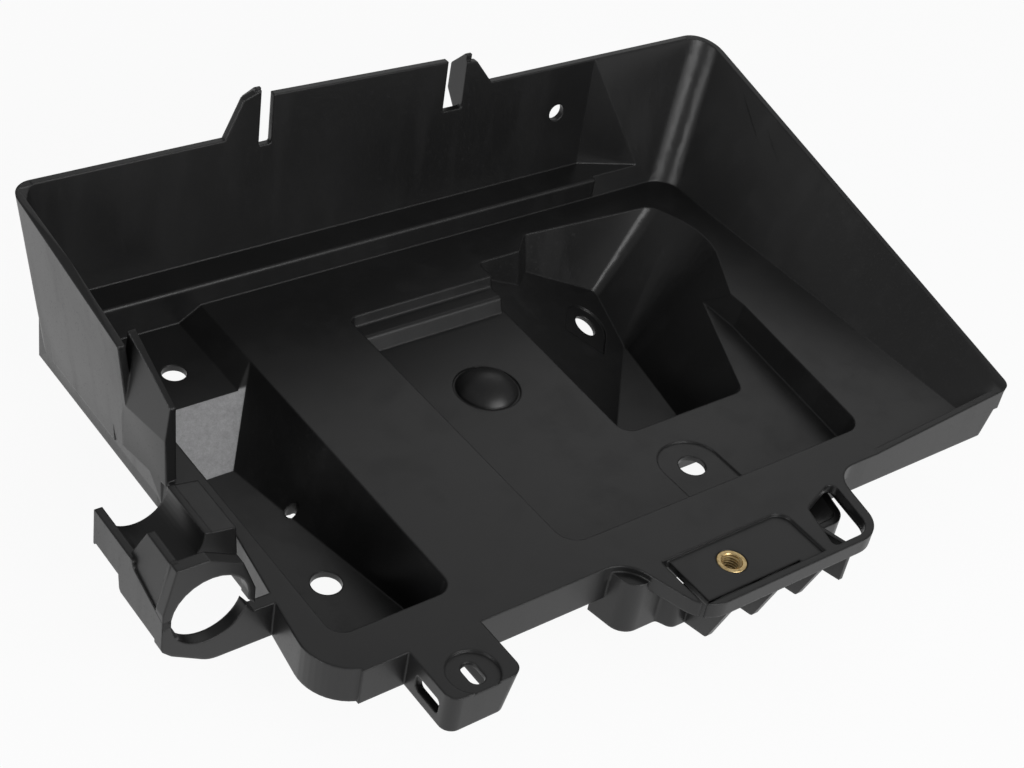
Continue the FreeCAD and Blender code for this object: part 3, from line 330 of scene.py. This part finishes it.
def clip_arch(material):
    """Arch over the hose: the ring's upper half, and the cheek that leans in from the outer plate."""
    arch = bmesh.new()
    outside = [place(x, RING_Y, z) for x, z in ARCH_OUTSIDE]
    sink = math.asin(RING_SINK / RING_RADIUS)
    angles = [math.pi + sink * (1 - 2 * step / ARCH_STEPS) - math.pi * step / ARCH_STEPS
              for step in range(ARCH_STEPS + 1)]
    inside = [place(RING_X + RING_RADIUS * math.cos(angle), RING_Y, RING_Z + RING_RADIUS * math.sin(angle))
              for angle in angles]
    face = arch.faces.new([arch.verts.new(spot) for spot in outside + inside])
    made = bmesh.ops.extrude_face_region(arch, geom=[face], use_keep_orig=True)
    moved = [part for part in made["geom"] if isinstance(part, bmesh.types.BMVert)]
    bmesh.ops.translate(arch, verts=moved, vec=(0.0, ARCH_DEPTH * MM, 0.0))
    cheek = [arch.verts.new(place(*spot)) for spot in CHEEK]
    bmesh.ops.convex_hull(arch, input=cheek)
    bmesh.ops.recalc_face_normals(arch, faces=arch.faces)
    return finished(arch, "clip_arch", material, "black_plastic")


def threaded_sleeve(material):
    """The brass insert: a chamfered sleeve, with the thread's ridge wound along its bore."""
    low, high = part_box("threaded_insert")
    radius = (high.x - low.x) / 2
    axis = Vector(((low.x + high.x) / 2, (low.y + high.y) / 2, 0.0))
    middle = (low.z + high.z) / 2
    waist = radius - GROOVE / 2
    profile = ((THREAD_MAJOR, low.z), (radius - CHAMFER, low.z), (radius, low.z + CHAMFER),
               (radius, middle - GROOVE), (waist, middle - GROOVE), (waist, middle + GROOVE),
               (radius, middle + GROOVE), (radius, high.z - CHAMFER / 2), (radius - CHAMFER / 2, high.z),
               (THREAD_MAJOR + CHAMFER / 2, high.z), (THREAD_MAJOR, high.z - CHAMFER / 2))
    sleeve = bmesh.new()
    ring = [sleeve.verts.new(axis + Vector((across, 0.0, height))) for across, height in profile]
    edges = [sleeve.edges.new((ring[index - 1], ring[index])) for index in range(len(ring))]
    bmesh.ops.spin(sleeve, geom=ring + edges, cent=axis, axis=(0, 0, 1), angle=math.tau, steps=SLEEVE_STEPS,
                   use_merge=True)
    turns = int((high.z - low.z - 2 * CHAMFER) / THREAD_PITCH)
    start = low.z + CHAMFER
    root = THREAD_MAJOR + TOOTH_SUNK
    tooth = ((root, -TOOTH_ROOT), (THREAD_MINOR, -TOOTH_TIP), (THREAD_MINOR, TOOTH_TIP), (root, TOOTH_ROOT))
    corners = [sleeve.verts.new(axis + Vector((across, 0.0, start + (share + 0.5) * THREAD_PITCH)))
               for across, share in tooth]
    section = sleeve.faces.new(corners)
    bmesh.ops.spin(sleeve, geom=[section], cent=axis, axis=(0, 0, 1), angle=math.tau * turns,
                   steps=THREAD_STEPS * turns, dvec=Vector((0, 0, THREAD_PITCH / THREAD_STEPS)),
                   use_merge=False)
    bmesh.ops.recalc_face_normals(sleeve, faces=sleeve.faces)
    return finished(sleeve, "brass_insert", material, "brass", "threaded_insert")


def soft_light(name, at, towards, width, height, watts):
    lamp = bpy.data.lights.new(name, "AREA")
    lamp.shape = "RECTANGLE"
    lamp.size = width
    lamp.size_y = height
    lamp.energy = watts
    holder = bpy.data.objects.new(name, lamp)
    bpy.context.scene.collection.objects.link(holder)
    holder.location = at
    holder.rotation_mode = "QUATERNION"
    holder.rotation_quaternion = (Vector(towards) - Vector(at)).to_track_quat("-Z", "Y")
    return holder


def white_floor():
    """Pale floor that the camera sees as white, with the object's faint shadow."""
    mesh = bpy.data.meshes.new("floor")
    maker = bmesh.new()
    bmesh.ops.create_grid(maker, x_segments=1, y_segments=1, size=FLOOR_HALF)
    maker.to_mesh(mesh)
    maker.free()
    floor = bpy.data.objects.new("floor", mesh)
    bpy.context.scene.collection.objects.link(floor)
    shader = Shader("pale_floor")
    rays = {kind: shader.node("ShaderNodeLightPath", None, None, kind)
            for kind in ("Is Camera Ray", "Is Glossy Ray", "Is Transmission Ray")}
    seen = rays["Is Camera Ray"].maths("MAXIMUM", rays["Is Camera Ray"], rays["Is Glossy Ray"])
    seen = seen.maths("MAXIMUM", seen, rays["Is Transmission Ray"])
    diffuse = shader.node("ShaderNodeBsdfDiffuse", None, {"Color": grey(FLOOR_GREY)})
    glow = shader.node("ShaderNodeEmission", None, {"Color": (1.0, 1.0, 1.0, 1.0), "Strength": 1.0})
    shader.finish(shader.node("ShaderNodeMixShader", None, {0: seen * FLOOR_WHITE, 1: diffuse, 2: glow}))
    mesh.materials.append(shader.material)


def surroundings():
    """White backdrop for the camera, and a softer grey room for the light."""
    world = bpy.data.worlds.new("studio")
    bpy.context.scene.world = world
    world.use_nodes = True
    nodes = world.node_tree.nodes
    nodes.clear()
    links = world.node_tree.links
    path = nodes.new("ShaderNodeLightPath")
    room = nodes.new("ShaderNodeBackground")
    room.inputs["Color"].default_value = (1.0, 1.0, 1.0, 1.0)
    room.inputs["Strength"].default_value = ROOM_LIGHT
    white = nodes.new("ShaderNodeBackground")
    white.inputs["Color"].default_value = (1.0, 1.0, 1.0, 1.0)
    white.inputs["Strength"].default_value = 1.0
    mix = nodes.new("ShaderNodeMixShader")
    out = nodes.new("ShaderNodeOutputWorld")
    links.new(path.outputs["Is Camera Ray"], mix.inputs[0])
    links.new(room.outputs[0], mix.inputs[1])
    links.new(white.outputs[0], mix.inputs[2])
    links.new(mix.outputs[0], out.inputs["Surface"])


def photo_camera():
    data = bpy.data.cameras.new("camera")
    data.sensor_width = SENSOR_WIDTH
    data.lens = FOCAL_LENGTH
    data.clip_start = 0.01
    camera = bpy.data.objects.new("camera", data)
    bpy.context.scene.collection.objects.link(camera)
    back = CAMERA_BACK.normalized()
    right = (CAMERA_RIGHT - back * CAMERA_RIGHT.dot(back)).normalized()
    up = back.cross(right)
    turn = Matrix((right, up, back)).transposed()
    camera.matrix_world = Matrix.Translation(HOME + CAMERA_PLACE) @ turn.to_4x4()
    bpy.context.scene.camera = camera


bpy.context.scene.view_settings.view_transform = "Standard"
photo_camera()
white_floor()
surroundings()
for name, spot, width, height, watts in LIGHTS:
    soft_light(name, place(*spot), place(*LIT_SPOT), width, height, watts)
black = moulded_plastic()
moulding(black)
clip_arch(black)
threaded_sleeve(turned_brass())
